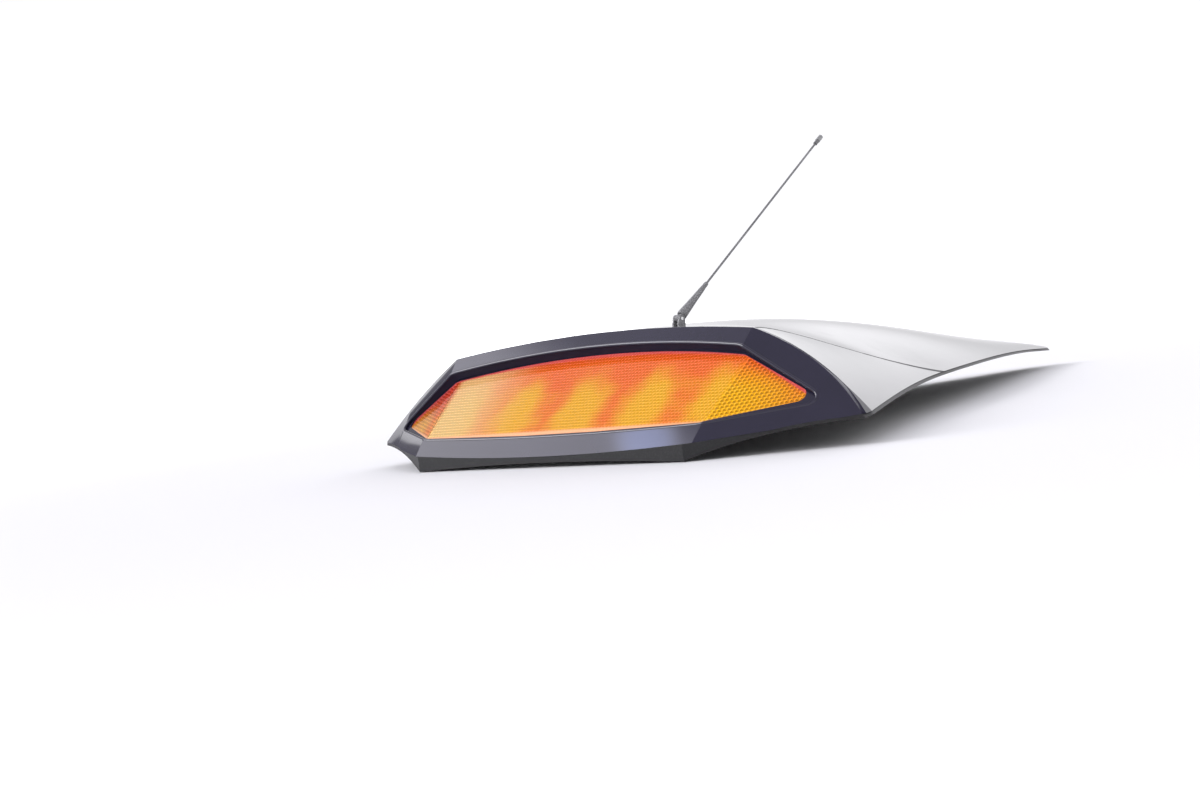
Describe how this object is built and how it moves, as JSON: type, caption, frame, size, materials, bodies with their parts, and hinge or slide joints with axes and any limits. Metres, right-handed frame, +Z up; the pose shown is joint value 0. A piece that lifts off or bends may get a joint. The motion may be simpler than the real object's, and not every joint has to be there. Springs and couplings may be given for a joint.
{
  "type": "taxi roof sign with folding aerial",
  "caption": "Streamlined roof sign pod for a taxi: tapering gloss fairing, faceted front bezel with a blank amber lens, and a short aerial that folds on its ridge.",
  "frame": {"origin": "centre of the rectangle of four roof fixings, on the face of their bosses", "axes": "+X to the right as seen from the front of the vehicle, +Y rearward, +Z up off the roof skin; the sign's face looks along -Y"},
  "size_m": [0.4802, 0.6338, 0.2215],
  "materials": {
    "fairing": "high-gloss black paint",
    "bezel": "gloss black moulding",
    "amber": "translucent amber acrylic, prismatic",
    "reflector": "white reflector",
    "circuit_board": "white solder mask with lamps",
    "pan": "matt black coated sheet",
    "brass": "plain brass",
    "seal": "matt black rubber",
    "aerial_metal": "satin black coated metal",
    "aerial_rubber": "ribbed dark rubber",
    "pin_steel": "plain steel",
    "cap_plastic": "satin grey plastic"
  },
  "bodies": {
    "pod": {"pod_shell": "fairing", "front_bezel": "bezel", "lens": "amber", "reflector_tray": "reflector", "led_board_left": "circuit_board", "led_board_centre": "circuit_board", "led_board_right": "circuit_board", "base_pan": "pan", "roof_inserts": "brass", "base_gasket": "seal", "cable_grommet": "seal", "aerial_pad": "seal", "aerial_base": "aerial_metal", "aerial_pin": "pin_steel", "aerial_nut": "pin_steel"},
    "aerial": {"aerial_knuckle": "aerial_metal", "aerial_boot": "aerial_rubber", "aerial_rod": "aerial_metal", "aerial_collar": "aerial_metal", "aerial_cap": "cap_plastic"}
  },
  "joints": [
    {"name": "aerial_fold", "type": "hinge", "parent": "pod", "child": "aerial", "pos_m": [0, -0.0831, 0.0615], "axis": [1, 0, 0], "range_deg": [-22, 56]}
  ]
}
